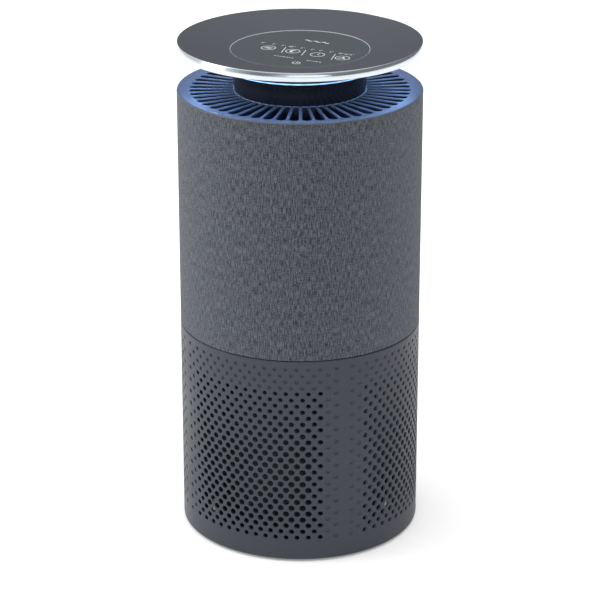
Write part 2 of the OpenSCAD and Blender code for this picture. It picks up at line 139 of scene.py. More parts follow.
def fillet(profile, radius, steps=4, closed=True):
    """Rounds the corners of a profile of (r, z) points, by at most a radius in metres."""
    out = []
    n = len(profile)
    for i, corner in enumerate(profile):
        c = Vector(corner[:2])
        want = corner[2] if len(corner) > 2 else radius
        if want <= 0 or (not closed and i in (0, n - 1)):
            out.append((c.x, c.y))
            continue
        a = Vector(profile[i - 1][:2]) - c
        b = Vector(profile[(i + 1) % n][:2]) - c
        half = a.angle(b) / 2
        reach = min(want / math.tan(half), a.length * 0.49, b.length * 0.49)
        if half > math.radians(85):
            out.append((c.x, c.y))
            continue
        start, end = c + a.normalized() * reach, c + b.normalized() * reach
        for s in range(steps + 1):
            t = s / steps
            p = start * (1 - t) ** 2 + c * 2 * t * (1 - t) + end * t ** 2
            out.append((p.x, p.y))
    return out


def at(r, angle, z):
    """A point in cylinder coordinates: angle 0 is the front, and it grows towards +X."""
    return (r * math.sin(angle), -r * math.cos(angle), z)


def lathe(name, profile, materials, steps=256, slot_of=None):
    """A solid of revolution from a closed profile of (r, z) points; slot_of(r, z) picks a material."""
    work = Welded()
    angles = [2 * math.pi * i / steps for i in range(steps)]
    rings = [[at(r, a, z) for a in angles] for r, z in profile]
    for i in range(len(rings)):
        after = (i + 1) % len(rings)
        middle = [(profile[i][n] + profile[after][n]) / 2 for n in (0, 1)]
        work.bridge(rings[i], rings[after], slot=slot_of(*middle) if slot_of else 0)
    return work.build(name, materials)


# ---- material helpers ----


class Nodes:
    """A small helper that makes a material's nodes and links."""

    def __init__(self, name):
        self.material = bpy.data.materials.new(name)
        self.material.use_nodes = True
        self.tree = self.material.node_tree
        self.shader = self.tree.nodes["Principled BSDF"]

    def add(self, kind, **values):
        node = self.tree.nodes.new(kind)
        for key, value in values.items():
            if hasattr(node, key):
                setattr(node, key, value)
            else:
                node.inputs[key].default_value = value
        return node

    def link(self, a, b):
        self.tree.links.new(a, b)

    def math(self, operation, a, b=None):
        node = self.add("ShaderNodeMath", operation=operation)
        for i, value in enumerate((a, b)):
            if value is None:
                continue
            if isinstance(value, (int, float)):
                node.inputs[i].default_value = value
            else:
                self.link(value, node.inputs[i])
        return node.outputs[0]

    def place(self):
        """Object coordinates, which are the row's own metres."""
        return self.add("ShaderNodeTexCoord").outputs["Object"]

    def split(self, vector):
        node = self.add("ShaderNodeSeparateXYZ")
        self.link(vector, node.inputs[0])
        return node.outputs

    def join(self, x, y, z):
        node = self.add("ShaderNodeCombineXYZ")
        for i, value in enumerate((x, y, z)):
            if isinstance(value, (int, float)):
                node.inputs[i].default_value = value
            else:
                self.link(value, node.inputs[i])
        return node.outputs[0]

    def noise(self, vector, scale, detail=2.0, roughness=0.5):
        node = self.add("ShaderNodeTexNoise", Scale=scale, Detail=detail, Roughness=roughness)
        self.link(vector, node.inputs["Vector"])
        return node.outputs["Fac"]

    def remap(self, value, lo, hi, to_lo, to_hi):
        node = self.add("ShaderNodeMapRange")
        self.link(value, node.inputs["Value"])
        for key, v in (("From Min", lo), ("From Max", hi), ("To Min", to_lo), ("To Max", to_hi)):
            node.inputs[key].default_value = v
        return node.outputs["Result"]

    def mix(self, factor, a, b):
        """A colour between a and b, which are plain (r, g, b) tuples."""
        node = self.add("ShaderNodeMix", data_type="RGBA")
        self.link(factor, node.inputs["Factor"])
        for key, value in (("A", a), ("B", b)):
            socket = [s for s in node.inputs if s.name == key and s.type == "RGBA"][0]
            socket.default_value = (*value, 1)
        return [s for s in node.outputs if s.type == "RGBA"][0]

    def bump(self, height, distance):
        node = self.add("ShaderNodeBump", Strength=1.0, Distance=distance)
        self.link(height, node.inputs["Height"])
        self.link(node.outputs["Normal"], self.shader.inputs["Normal"])

    def set(self, **values):
        for key, value in values.items():
            socket = self.shader.inputs[key.replace("_", " ")]
            if hasattr(value, "is_linked"):
                self.link(value, socket)
            else:
                socket.default_value = value

    def wrapped(self):
        """The surface unrolled round the body's axis: metres round, and metres up."""
        x, y, z = self.split(self.place())
        angle = self.math("ARCTAN2", x, self.math("MULTIPLY", y, -1.0))
        return self.math("MULTIPLY", angle, BODY_R), z

    def stretched(self, around, per_around, up, per_up, layer=0.0):
        """A noise's place on the unrolled surface, with its own scale round and up."""
        return self.join(self.math("MULTIPLY", around, per_around), self.math("MULTIPLY", up, per_up), layer)


def plastic(name, colour, grain=0.35, roughness=0.45, depth=0.00003, spread=0.06, ior=1.45):
    """Moulded plastic: a fine spark-eroded grain, and slow variation in colour and gloss."""
    m = Nodes(name)
    place = m.place()
    slow = m.noise(place, 14.0, 3.0)
    fine = m.noise(place, 1.0 / (grain * MM), 2.0, 0.6)
    dark = tuple(c * (1 - spread) for c in colour)
    light = tuple(c * (1 + spread) for c in colour)
    tone = m.math("ADD", m.math("MULTIPLY", slow, 0.6), m.math("MULTIPLY", fine, 0.4))
    m.set(Base_Color=m.mix(m.remap(tone, 0.3, 0.7, 0.0, 1.0), dark, light),
          Roughness=m.remap(slow, 0.3, 0.7, roughness - 0.05, roughness + 0.05), IOR=ior)
    m.bump(fine, depth)
    return m.material


def metal(name, colour, roughness=0.3, grain=0.3, stretch=(1, 1, 8), depth=0.00002):
    """Metal with a ground or plated finish: a stretched fine grain in its gloss."""
    m = Nodes(name)
    mapping = m.add("ShaderNodeMapping")
    m.link(m.place(), mapping.inputs["Vector"])
    mapping.inputs["Scale"].default_value = stretch
    fine = m.noise(mapping.outputs[0], 1.0 / (grain * MM), 3.0, 0.6)
    slow = m.noise(m.place(), 60.0, 2.0)
    m.set(Base_Color=m.mix(slow, tuple(c * 0.88 for c in colour), colour),
          Roughness=m.remap(fine, 0.3, 0.7, roughness - 0.08, roughness + 0.08))
    m.set(Metallic=1.0)
    m.bump(fine, depth)
    return m.material


def soft(name, colour, grain=0.6, roughness=0.8, depth=0.0001, cells=False):
    """Rubber, foam or felt: rough, with a grain or open cells."""
    m = Nodes(name)
    place = m.place()
    if cells:
        voronoi = m.add("ShaderNodeTexVoronoi", Scale=1.0 / (grain * MM))
        m.link(place, voronoi.inputs["Vector"])
        fine = voronoi.outputs["Distance"]
    else:
        fine = m.noise(place, 1.0 / (grain * MM), 3.0, 0.6)
    slow = m.noise(place, 25.0, 2.0)
    tone = m.math("MULTIPLY", m.math("ADD", fine, slow), 0.5)
    m.set(Base_Color=m.mix(tone, tuple(c * 0.75 for c in colour), tuple(min(1, c * 1.3) for c in colour)),
          Roughness=m.remap(fine, 0.2, 0.8, roughness - 0.08, min(1.0, roughness + 0.08)))
    m.bump(fine, depth)
    return m.material


# ---- the perforated shell ----

COLUMN = 5.33 * MM                      # side to side pitch of the hole columns
ROW = 6.76 * MM                         # half the pitch of the holes in a column
FIRST_ROW = 28 * MM
LAST_ROW = 28                           # the last row that has holes
EDGE_COLUMN = 16                        # the column at a field's edge, a quarter turn from its mirror
WIDE_FROM = 13                          # from this column on, the pitch is wider
THROUGH_COLUMNS, THROUGH_ROWS = 13, 24  # past these the holes are blind dimples
SEGMENTS = 4                            # points to each side of a hole's diamond cell
EDGE_X = BODY_R * math.sin(math.pi / 4)
SQUARE_X = 80 * MM                      # up to here a hole's wall runs straight back
CUT_X = 2.5 * COLUMN                    # the mains socket's cut-out, to each side
CUT_Z0, CUT_Z1 = 6 * MM, 20.4 * MM


def column_x(k):
    step = (EDGE_X - WIDE_FROM * COLUMN) / (EDGE_COLUMN - WIDE_FROM)
    return math.copysign(min(abs(k), WIDE_FROM) * COLUMN + max(0, abs(k) - WIDE_FROM) * step, k)


def row_z(m):
    return FIRST_ROW + m * ROW


def hole_radius(k, z):
    """The holes get smaller towards the top and the bottom of a field, and at its two sides."""
    size = 6.2 * MM - 0.0268 * max(0.0, z - 118 * MM) - 0.068 * max(0.0, 49 * MM - z)
    cap = 6.2 * MM if abs(k) < 12 else 4.9 * MM if abs(k) < 14 else 4.2 * MM
    return min(size, cap) / 2


def on_front(x, z, depth=0.0):
    return (x, depth - math.sqrt(BODY_R ** 2 - x * x), z)


def on_back(x, z):
    """The same place on the inside of the wall, where the field's edge has to stay on the diagonal."""
    inner_edge = SHELL_IN * math.sin(math.pi / 4)
    if abs(x) > SQUARE_X:
        share = (abs(x) - SQUARE_X) / (EDGE_X - SQUARE_X)
        x = math.copysign(SQUARE_X + share * (inner_edge - SQUARE_X), x)
    return (x, -math.sqrt(SHELL_IN ** 2 - x * x), z)


def half_cell(k, m, side):
    """The upper and lower lines of one half of a diamond cell, from its tip to its middle column."""
    tip, middle, z = column_x(k + side), column_x(k), row_z(m)
    up = ROW if m <= LAST_ROW else 0.0
    down = ROW if m >= 0 else 0.0
    steps = [i / SEGMENTS for i in range(SEGMENTS + 1)]
    return ([(tip + (middle - tip) * t, z + up * t) for t in steps],
            [(tip + (middle - tip) * t, z - down * t) for t in steps])


def fill_cell(put, k, m, place):
    for side in (-1, 1):
        if abs(k + side) > EDGE_COLUMN:
            continue
        upper, lower = half_cell(k, m, side)
        for i in range(SEGMENTS):
            put((place(*upper[i]), place(*upper[i + 1]), place(*lower[i + 1]), place(*lower[i])))


def shell_field(work, turn, cut):
    """A quarter of the shell: a staggered field of holes, all drilled in one direction."""
    c, s = round(math.cos(turn)), round(math.sin(turn))

    def spin(p):
        return (p[0] * c - p[1] * s, p[0] * s + p[1] * c, p[2])

    def put(corners):
        work.face([spin(p) for p in corners])

    def band(a, b):
        for i in range(len(a) - 1):
            put((a[i], a[i + 1], b[i + 1], b[i]))

    def loop(a, b):
        for i in range(len(a)):
            put((a[i - 1], a[i], b[i], b[i - 1]))

    for m in range(-1, LAST_ROW + 2):
        for k in range(-EDGE_COLUMN, EDGE_COLUMN + 1):
            if (k + m) % 2 == 0:
                continue
            drilled = abs(k) < EDGE_COLUMN and 0 <= m <= LAST_ROW
            through = drilled and abs(k) <= THROUGH_COLUMNS and m <= THROUGH_ROWS
            if not drilled:
                fill_cell(put, k, m, on_front)
            if not through:
                fill_cell(put, k, m, on_back)
            if not drilled:
                continue
            right, left = half_cell(k, m, 1), half_cell(k, m, -1)
            edge = right[0] + left[0][::-1][1:] + left[1][1:] + right[1][::-1][1:-1]
            x0, z0 = column_x(k), row_z(m)
            r = hole_radius(k, z0)
            turns = [2 * math.pi * i / len(edge) for i in range(len(edge))]

            def circle(size):
                return [(x0 + size * math.cos(t), z0 + size * math.sin(t)) for t in turns]

            rings = [[on_front(x, z) for x, z in edge]]
            for grow, depth in ((0.45, 0.0), (0.13, 0.08), (0.0, 0.36)):
                rings.append([on_front(x, z, depth * MM) for x, z in circle(r + grow * MM)])
            if through:
                rings.append([on_back(x, z) for x, z in circle(r)])
                rings.append([on_back(x, z) for x, z in edge])
            else:
                rings.append([on_front(x, z, 1.0 * MM) for x, z in circle(r - 0.06 * MM)])
                rings.append([on_front(x, z, 1.25 * MM) for x, z in circle(r - 0.4 * MM)])
                put(rings[-1])
            for a, b in zip(rings, rings[1:]):
                loop(a, b)

    xs = []
    for k in range(-EDGE_COLUMN, EDGE_COLUMN):
        a, b = column_x(k), column_x(k + 1)
        xs += [a + (b - a) * i / SEGMENTS for i in range(SEGMENTS)]
    xs.append(column_x(EDGE_COLUMN))

    def outer(radius, z):
        return [(p[0] * radius / BODY_R, p[1] * radius / BODY_R, z) for p in (on_front(x, z) for x in xs)]

    def inner(z):
        return [on_back(x, z) for x in xs]

    z0, low, top = shell_lo.z, row_z(-1), row_z(LAST_ROW + 1)
    foot = [(BODY_R - 2 * MM * (1 - math.cos(t)), z0 + 2 * MM * (1 - math.sin(t)))
            for t in (math.pi / 2 * i / 5 for i in range(6))]
    rows = [outer(BODY_R, z) for z in (low, CUT_Z1, CUT_Z0)]
    rows += [outer(r, z) for r, z in foot] + [inner(z) for z in (z0, CUT_Z0, CUT_Z1, low)]
    hole = [i for i, x in enumerate(xs) if cut and abs(x) < CUT_X + 1e-6]
    for n, (a, b) in enumerate(zip(rows, rows[1:])):
        if hole and n in (1, len(rows) - 3):
            band(a[:hole[0] + 1], b[:hole[0] + 1])
            band(a[hole[-1]:], b[hole[-1]:])
        else:
            band(a, b)
    if hole:
        up, down = rows[1][hole[0]:hole[-1] + 1], rows[2][hole[0]:hole[-1] + 1]
        up_in, down_in = rows[-2][hole[0]:hole[-1] + 1], rows[-3][hole[0]:hole[-1] + 1]
        band(up, up_in)
        band(down, down_in)
        for i in (0, -1):
            put((up[i], down[i], down_in[i], up_in[i]))
    rows = [outer(BODY_R, top), outer(BODY_R, shell_hi.z - 0.6 * MM),
            outer(BODY_R - 0.2 * MM, shell_hi.z - 0.18 * MM), outer(BODY_R - 0.6 * MM, shell_hi.z),
            inner(shell_hi.z), inner(top)]
    for a, b in zip(rows, rows[1:]):
        band(a, b)


def turned_into(work, profile, centre=(0.0, 0.0), steps=24):
    """Adds a small closed solid of revolution, with its axis at centre."""
    angles = [2 * math.pi * i / steps for i in range(steps)]
    rings = [[(centre[0] + r * math.cos(a), centre[1] + r * math.sin(a), z) for a in angles]
             for r, z in profile]
    for i in range(len(rings)):
        work.bridge(rings[i], rings[(i + 1) % len(rings)])


def make_shell():
    work = Welded()
    for quarter in range(4):
        shell_field(work, quarter * math.pi / 2, quarter == 2)
    deck_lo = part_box("fan_deck")[0].z
    ledge_in, ledge_out = SHELL_IN - 2.6 * MM, SHELL_IN + 0.3 * MM
    turned_into(work, [(ledge_in, deck_lo - 4 * MM), (ledge_out, deck_lo - 4 * MM), (ledge_out, deck_lo),
                       (ledge_in, deck_lo)], steps=128)
    for i in range(4):
        a = math.radians(45 + 90 * i)
        corners = ((WEB_R, -WEB_HALF), (ledge_out, -WEB_HALF), (ledge_out, WEB_HALF), (WEB_R, WEB_HALF))
        web = [[(r * math.cos(a) - side * math.sin(a), r * math.sin(a) + side * math.cos(a), z)
                for r, side in corners] for z in (WEB_FOOT, deck_lo - 13.9 * MM)]
        work.bridge(*web)
        work.face(web[0])
        work.face(web[1])
        spot = (POST_R * math.cos(a), POST_R * math.sin(a))
        for z0, z1, mouth in ((17, 30, -1), (deck_lo / MM - 14, deck_lo / MM, 1)):
            bore = (z0, z1 - 2) if mouth < 0 else (z1, z0 + 2)
            ends = (z1, z0) if mouth < 0 else (z0, z1)
            turned_into(work, [(0.0, bore[1] * MM), (1.6 * MM, bore[1] * MM), (1.6 * MM, bore[0] * MM),
                               (5 * MM, ends[1] * MM), (5 * MM, ends[0] * MM), (0.0, ends[0] * MM)], spot)
    return work.build("perforated_shell", [shell_mat], 40)


# ---- the fabric band ----

THREAD_PITCH = 0.62 * MM
SEAM_ROW = 2.4 * MM                     # each row of stitches, from the seam's middle
STITCH, STITCH_PITCH = 2.9 * MM, 3.9 * MM
THREAD_R = 0.22 * MM


def make_fabric():
    """A tube of cloth, hemmed at both edges, with one lapped and stitched seam at the back."""
    z0, z1 = sleeve_lo.z, sleeve_hi.z
    r_out, r_in, roll = BODY_R, BODY_R - 1.0 * MM, 0.5 * MM
    random.seed(7)
    phases = [random.uniform(0, 2 * math.pi) for _ in range(4)]
    angles = [math.pi * 2 * i / 360 for i in range(360) if abs(i - 180) > 3]
    angles += [math.pi + math.radians(a / 4) for a in range(-12, 13)]
    angles.sort()
    heights = [z0 + roll + (z1 - z0 - 2 * roll) * i / 40 for i in range(41)]
    turns = [math.pi * i / 8 for i in range(1, 8)]

    def relief(a, z):
        off = (a - math.pi) * BODY_R
        lap = -0.42 * MM * math.exp(-(off / (0.45 * MM)) ** 2)
        lap -= 0.12 * MM * math.exp(-((abs(off) - SEAM_ROW) / (0.5 * MM)) ** 2)
        slow = sum(math.sin((n + 2) * a + phases[n] + 9 * n * z) for n in range(4)) * 0.025 * MM
        return lap + slow - 0.1 * MM

    work = Welded()
    rings = []
    for z in heights:
        rings.append([at(r_out + relief(a, z), a, z) for a in angles])
    for t in turns:
        rings.append([at(r_out - roll + roll * math.cos(t) + relief(a, z1) * (1 + math.cos(t)) / 2, a,
                         z1 - roll + roll * math.sin(t)) for a in angles])
    for z in reversed(heights[::10]):
        rings.append([at(r_in, a, z) for a in angles])
    for t in turns:
        rings.append([at(r_in + roll - roll * math.cos(t) + relief(a, z0) * (1 - math.cos(t)) / 2, a,
                         z0 + roll - roll * math.sin(t)) for a in angles])
    for i in range(len(rings)):
        work.bridge(rings[i], rings[(i + 1) % len(rings)])
    return work.build("fabric_band", [fabric_mat], 60)


def make_stitches():
    """Two rows of short stitches beside the seam."""
    work = Welded()
    count = int((sleeve_hi.z - sleeve_lo.z - 4 * MM) / STITCH_PITCH)
    for side in (-1, 1):
        for i in range(count):
            z = sleeve_lo.z + 3 * MM + i * STITCH_PITCH
            base = math.pi + side * SEAM_ROW / BODY_R
            rings = []
            for j in range(7):
                t = j / 6
                lift = 0.14 * MM * math.sin(math.pi * t) - 0.27 * MM
                size = THREAD_R * (0.55 + 0.45 * math.sin(math.pi * t))
                rings.append([at(BODY_R + lift + size * math.cos(u), base + size * math.sin(u) / BODY_R,
                                 z + STITCH * t) for u in (2 * math.pi * q / 8 for q in range(8))])
            for a, b in zip(rings, rings[1:]):
                work.bridge(a, b)
            work.face(rings[0])
            work.face(rings[-1])
    return work.build("seam_stitching", [thread_mat], 60)


# ---- the outlet grille ----

SLOTS = 52
RIB = 3.4 * MM
SLOT_END = 113 * MM
HUB_R = 68.5 * MM
HUB_HOLE_R = 24 * MM
RING_R = 118 * MM                       # the flat ring's outer edge, where the lip starts
SIDE_STEPS, END_STEPS, HUB_STEPS = 9, 12, 6
ROUNDING = ((1.25, 0.0), (0.95, 0.05), (0.62, 0.2), (0.33, 0.47), (0.12, 0.85), (0.0, 1.35))
HUB_BEAD = ((1.2, 0.4), (0.9, 0.44), (0.55, 0.42), (0.28, 0.33), (0.09, 0.12), (0.0, -0.3))


def slot_loop(grow, hub_grow):
    """A slot's outline between two ribs, grown by a width: side, round end, other side, and hub arc."""
    half = math.pi / SLOTS
    s = math.sin(half)
    end_r = (SLOT_END * s - RIB / 2) / (1 + s)
    end_c = SLOT_END - end_r
    away = RIB / 2 - grow
    hub = HUB_R - hub_grow
    start, stop = math.sqrt(hub ** 2 - away ** 2), end_c * math.cos(half)
    runs = [start, start + 0.5 * MM]
    runs += [start + (stop - start) * i / SIDE_STEPS for i in range(1, SIDE_STEPS + 1)]
    side = [(u * math.cos(half) + away * s, u * s - away * math.cos(half)) for u in runs]
    end = []
    for i in range(1, END_STEPS):
        a = math.pi / 2 + half - (math.pi + 2 * half) * i / END_STEPS
        end.append((end_c + (end_r + grow) * math.cos(a), (end_r + grow) * math.sin(a)))
    other = [(x, -y) for x, y in reversed(side)]
    lean = math.atan2(side[0][1], side[0][0])
    arc = [(hub * math.cos(a), hub * math.sin(a))
           for a in (-lean + 2 * lean * i / HUB_STEPS for i in range(1, HUB_STEPS))]
    return side + end + other + arc


def slot_cell(inner, outer):
    """The cell round a slot: from rib middle to rib middle, and from the hub to the flat ring's edge."""
    half = math.pi / SLOTS
    base = slot_loop(0.0, 0.0)
    n_side = SIDE_STEPS + 2
    side = [(inner, half)]
    for x, y in base[1:n_side]:
        side.append((x * math.cos(half) + y * math.sin(half), half))
    top = END_STEPS // 2
    corner = top // 2
    end = []
    for i in range(1, END_STEPS):
        j = min(i, END_STEPS - i)
        if j <= corner:
            r = side[-1][0] + (outer - side[-1][0]) * j / corner
            angle = half
        else:
            r = outer
            angle = half * (top - j) / (top - corner)
        end.append((r, angle if i < top else -angle))
    other = [(r, -a) for r, a in reversed(side)]
    arc = [(inner, half * (2 * i / HUB_STEPS - 1)) for i in range(1, HUB_STEPS)]
    return [(r * math.cos(a), r * math.sin(a)) for r, a in side + end + other + arc]


def make_grille():
    work = Welded()
    top_edge = slot_cell(HUB_R - 1.6 * MM, RING_R)
    low_edge = slot_cell(HUB_R - 2.2 * MM, SLOT_END + 2 * MM)
    n_arc = HUB_STEPS - 1
    for n in range(SLOTS):
        turn = 2 * math.pi * n / SLOTS

        def lift(points, heights):
            return [at(math.hypot(x, y), turn + math.atan2(y, x), z) for (x, y), z in zip(points, heights)]

        def level(points, z, bead):
            """The rib's own height, and the hub bead's height at the hub's edge."""
            hub = [len(points) - n_arc + i for i in range(n_arc)] + [0, len(points) - n_arc - 1]
            return [bead if i in hub else z for i in range(len(points))]

        rings = [lift(top_edge, level(top_edge, OUTLET_Z, OUTLET_Z + 0.15 * MM))]
        for (grow, drop), (hub_grow, rise) in zip(ROUNDING, HUB_BEAD):
            loop = slot_loop(grow * MM, hub_grow * MM)
            rings.append(lift(loop, level(loop, OUTLET_Z - drop * MM, OUTLET_Z + rise * MM)))
        loop = slot_loop(0.0, 0.0)
        rings.append(lift(loop, [GRILLE_Z0] * len(loop)))
        rings.append(lift(low_edge, [GRILLE_Z0] * len(low_edge)))
        for n_ring, (a, b) in enumerate(zip(rings, rings[1:])):
            for i in range(len(a)):
                j = (i + 1) % len(a)
                # faces on the hub's bead take a lighter colour: a painted highlight line
                on_hub = i >= len(a) - n_arc - 1 and n_ring < 5
                # the slot walls take a near-black colour: painted shade inside the slots
                on_wall = n_ring >= len(rings) - 3
                work.face((a[i], a[j], b[j], b[i]), 2 if on_wall else 1 if on_hub else 0)
    steps = SLOTS * 6
    turns = [2 * math.pi * i / steps for i in range(steps)]
    lip = [(BODY_R - 2 * MM + 2 * MM * math.cos(a), OUTLET_Z - 0.9 * MM + 2 * MM * math.sin(a))
           for a in (math.radians(100 - 100 * i / 9) for i in range(10))]
    upper_in = BODY_R - 3.4 * MM
    skirt = [(RING_R, OUTLET_Z), *lip, (BODY_R, sleeve_hi.z + 0.1 * MM),
             (BODY_R - 1.2 * MM, sleeve_hi.z + 0.1 * MM),
             (BODY_R - 1.2 * MM, OUTLET_Z - 2.6 * MM), (upper_in - 0.3 * MM, OUTLET_Z - 2.6 * MM),
             (upper_in - 0.3 * MM, OUTLET_Z - 15 * MM), (upper_in - 2.4 * MM, OUTLET_Z - 15 * MM),
             (upper_in - 2.4 * MM, OUTLET_Z - 4 * MM), (SLOT_END + 2 * MM, OUTLET_Z - 4 * MM),
             (SLOT_END + 2 * MM, GRILLE_Z0)]
    hub = [(HUB_R - 1.6 * MM, OUTLET_Z + 0.15 * MM), (HUB_R - 1.75 * MM, OUTLET_Z - 1.0 * MM),
           (HUB_R - 2.6 * MM, OUTLET_Z - 1.2 * MM), (HUB_HOLE_R, OUTLET_Z - 1.2 * MM),
           (HUB_HOLE_R, OUTLET_Z - 4 * MM),
           (HUB_R - 2.2 * MM, OUTLET_Z - 4 * MM), (HUB_R - 2.2 * MM, GRILLE_Z0)]
    for profile in (skirt, hub):
        rings = [[at(r, a, z) for a in turns] for r, z in profile]
        for a, b in zip(rings, rings[1:]):
            work.bridge(a, b)
    for i in range(4):
        a = math.radians(45 + 90 * i)
        spot = (50 * MM * math.cos(a), 50 * MM * math.sin(a))
        z0, z1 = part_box("main_board")[1].z, OUTLET_Z - 3.8 * MM
        turned_into(work, [(1.3 * MM, z0), (4 * MM, z0), (4 * MM, z1), (1.3 * MM, z1)], spot)
    return work.build("blade_grille", [grille_mat, bead_highlight_mat, slot_wall_shade_mat], 50)


# ---- pedestal, disc and panel ----

LIGHT_WIDTH = 4.6 * MM


def flare(t, inset):
    """The pedestal's wall, from the neck (t = 0) out to the disc (t = 1); inset 2 is its inside."""
    r = NECK_R + (1 - inset) * MM + (light_hi.x - NECK_R - (6 - inset) * MM) * (1 - math.cos(math.pi / 2 * t))
    rise = RIM_Z - OUTLET_Z - 24.3 * MM + 1.2 * inset * MM
    return (r, OUTLET_Z + 8 * MM + rise * math.sin(math.pi / 2 * t))


def make_pedestal():
    wall = [flare(i / 20, 0) for i in range(21)] + [flare(i / 20, 2) for i in range(20, -1, -1)]
    foot = fillet([(NECK_R - 2 * MM, OUTLET_Z + 2 * MM), (52 * MM, OUTLET_Z + 2 * MM), (52 * MM, ped_lo.z),
                   (NECK_R, ped_lo.z)], 0.3 * MM, closed=False)
    return lathe("pedestal_shell", foot + wall, [gloss_mat])


def make_tray():
    r = light_hi.x
    profile = [(r / MM - 21, -11.8, 0), (r / MM + 0.4, -12.7, 0.1), (r / MM + 0.4, -14.9, 0.3),
               (r / MM + 2, -14.9, 0.5), (BODY_R / MM - 2, 0.1, 0.6), (BODY_R / MM - 1.7, 2, 0.2),
               (BODY_R / MM - 3.6, 2, 0.2), (r / MM + 1.8, -10.7, 0.5), (r / MM - 21, -10.1, 0)]
    profile = [(a * MM, RIM_Z + b * MM, c * MM) for a, b, c in profile]
    return lathe("disc_under_tray", fillet(profile, 0), [tray_mat])


def make_light():
    """The milky ring at the pedestal's top."""
    lo, hi = light_lo.z, light_hi.z
    r_in, r_out = light_hi.x - LIGHT_WIDTH, light_hi.x
    profile = [(r_in, lo), (r_out, lo), (r_out, hi), (r_in, hi)]
    return lathe("light_guide", fillet(profile, 0.7 * MM), [light_mat])


def make_rim():
    barrel = [(0.55, 0.15), (0.2, 0.7), (0.0, 2.4), (0.0, 3.8), (0.16, 5.2), (0.42, 6.4), (0.8, 7.5)]
    edge = [(1.1, 8.3, 0.2), (1.35, 8.8, 0.2), (1.7, 8.8, 0.15), (1.75, 8.3, 0.1), (1.5, 6.8, 0)]
    profile = [(1.5, 0.1, 0), (0.85, 0.0, 0.2), *((inset, rise, 0.6) for inset, rise in barrel), *edge]
    profile = [(BODY_R - inset * MM, RIM_Z + rise * MM, round_r * MM) for inset, rise, round_r in profile]
    return lathe("rim_trim", fillet(profile, 0), [rim_mat], 320)


def make_dish():
    """The disc's shallow conical dish, from the panel's rebate up to the rim."""
    edge = PANEL_R + 0.25 * MM
    profile = [
        (DISH_HOLE_R, PANEL_Z - 3 * MM, 0), (DISH_HOLE_R, PANEL_Z - 1.8 * MM, 0),
        (edge, PANEL_Z - 1.8 * MM, 0.2 * MM), (edge, PANEL_Z + 0.05 * MM, 0.15 * MM),
        (edge + 0.55 * MM, PANEL_Z + 0.22 * MM, 0.25 * MM), (edge + 1.4 * MM, PANEL_Z + 0.2 * MM, 0.5 * MM),
        (BODY_R - 12 * MM, TOP_Z - 2.5 * MM, 8 * MM), (BODY_R - 3 * MM, TOP_Z - 0.62 * MM, 0.6 * MM),
        (BODY_R - 1.8 * MM, TOP_Z - 0.5 * MM, 0.2 * MM), (BODY_R - 1.8 * MM, RIM_Z + 2.2 * MM, 0.2 * MM),
        (BODY_R - 3.4 * MM, RIM_Z + 2.2 * MM, 0.2 * MM), (BODY_R - 3.8 * MM, TOP_Z - 3 * MM, 1 * MM),
        (edge + 2 * MM, PANEL_Z - 3 * MM, 1 * MM),
    ]
    # slot 1, the light grey line on the rebate's chamfer round the panel, is a painted highlight
    return lathe("dish_shell", fillet(profile, 0), [dish_mat, dish_edge_highlight_mat], 288,
                 lambda r, z: 1 if edge < r < edge + 0.6 * MM and z > PANEL_Z - 0.2 * MM else 0)


def make_panel():
    """A flat disc of hard-coated acrylic, with a fine polished bevel at its edge."""
    z0, z1, r = panel_lo.z, PANEL_Z, PANEL_R
    profile = [(0.0, z0), (30 * MM, z0), (r, z0), (r, z1 - 0.3 * MM), (r - 0.12 * MM, z1 - 0.1 * MM),
               (r - 0.4 * MM, z1), (r - 3 * MM, z1), (45 * MM, z1), (20 * MM, z1), (0.0, z1)]
    return lathe("panel_glass", profile, [panel_mat], 192)


# ---- printing on the panel ----

PRINT_Z0, PRINT_Z1 = PANEL_Z - 0.03 * MM, PANEL_Z + 0.035 * MM


class Print:
    """Flat printed lines, as thin raised strips. Places are millimetres in the print's own axes."""

    def __init__(self, origin, turn_deg):
        self.work = Welded()
        self.origin = origin
        self.turn = math.radians(turn_deg)

    def spot(self, p, z):
        c, s = math.cos(self.turn), math.sin(self.turn)
        x, y = p[0], p[1]
        return ((self.origin[0] + x * c - y * s) * MM, (self.origin[1] + x * s + y * c) * MM, z)

    def prism(self, corners):
        low = [self.spot(p, PRINT_Z0) for p in corners]
        high = [self.spot(p, PRINT_Z1) for p in corners]
        self.work.face(high)
        self.work.face(low)
        self.work.bridge(low, high)

    def line(self, points, width=0.5, closed=False):
        """A line of one width through the points, mitred at its corners."""
        pts = [Vector(p) for p in points]
        n = len(pts)
        left, right = [], []
        for i, p in enumerate(pts):
            before = pts[i - 1] if (i or closed) else None
            after = pts[(i + 1) % n] if (i < n - 1 or closed) else None
            d1 = (p - before).normalized() if before is not None else None
            d2 = (after - p).normalized() if after is not None else None
            d1, d2 = d1 or d2, d2 or d1
            d = (d1 + d2).normalized()
            reach = width / 2 / max(0.4, d.dot(d1))
            side = Vector((-d.y, d.x)) * reach
            left.append(p + side)
            right.append(p - side)
        self.band(left, right, closed)

    def band(self, left, right, closed=False):
        """A strip between two rows of corners."""
        n = len(left)
        rows = [[self.spot(p, z) for p in row] for row, z in ((left, PRINT_Z1), (right, PRINT_Z1),
                                                             (right, PRINT_Z0), (left, PRINT_Z0))]
        for a, b in zip(rows, rows[1:] + rows[:1]):
            for i in range(n if closed else n - 1):
                j = (i + 1) % n
                self.work.face((a[i], a[j], b[j], b[i]))
        if not closed:
            for i in (0, n - 1):
                self.work.face([row[i] for row in rows])

    def arc(self, centre, radius, a0, a1, width=0.5, steps=24):
        full = abs(a1 - a0) >= 360
        count = steps if full else steps + 1
        points = [(centre[0] + radius * math.cos(t), centre[1] + radius * math.sin(t))
                  for t in (math.radians(a0 + (a1 - a0) * i / steps) for i in range(count))]
        self.line(points, width, closed=full)

    def dot(self, centre, radius):
        self.prism([(centre[0] + radius * math.cos(t), centre[1] + radius * math.sin(t))
                    for t in (2 * math.pi * i / 12 for i in range(12))])


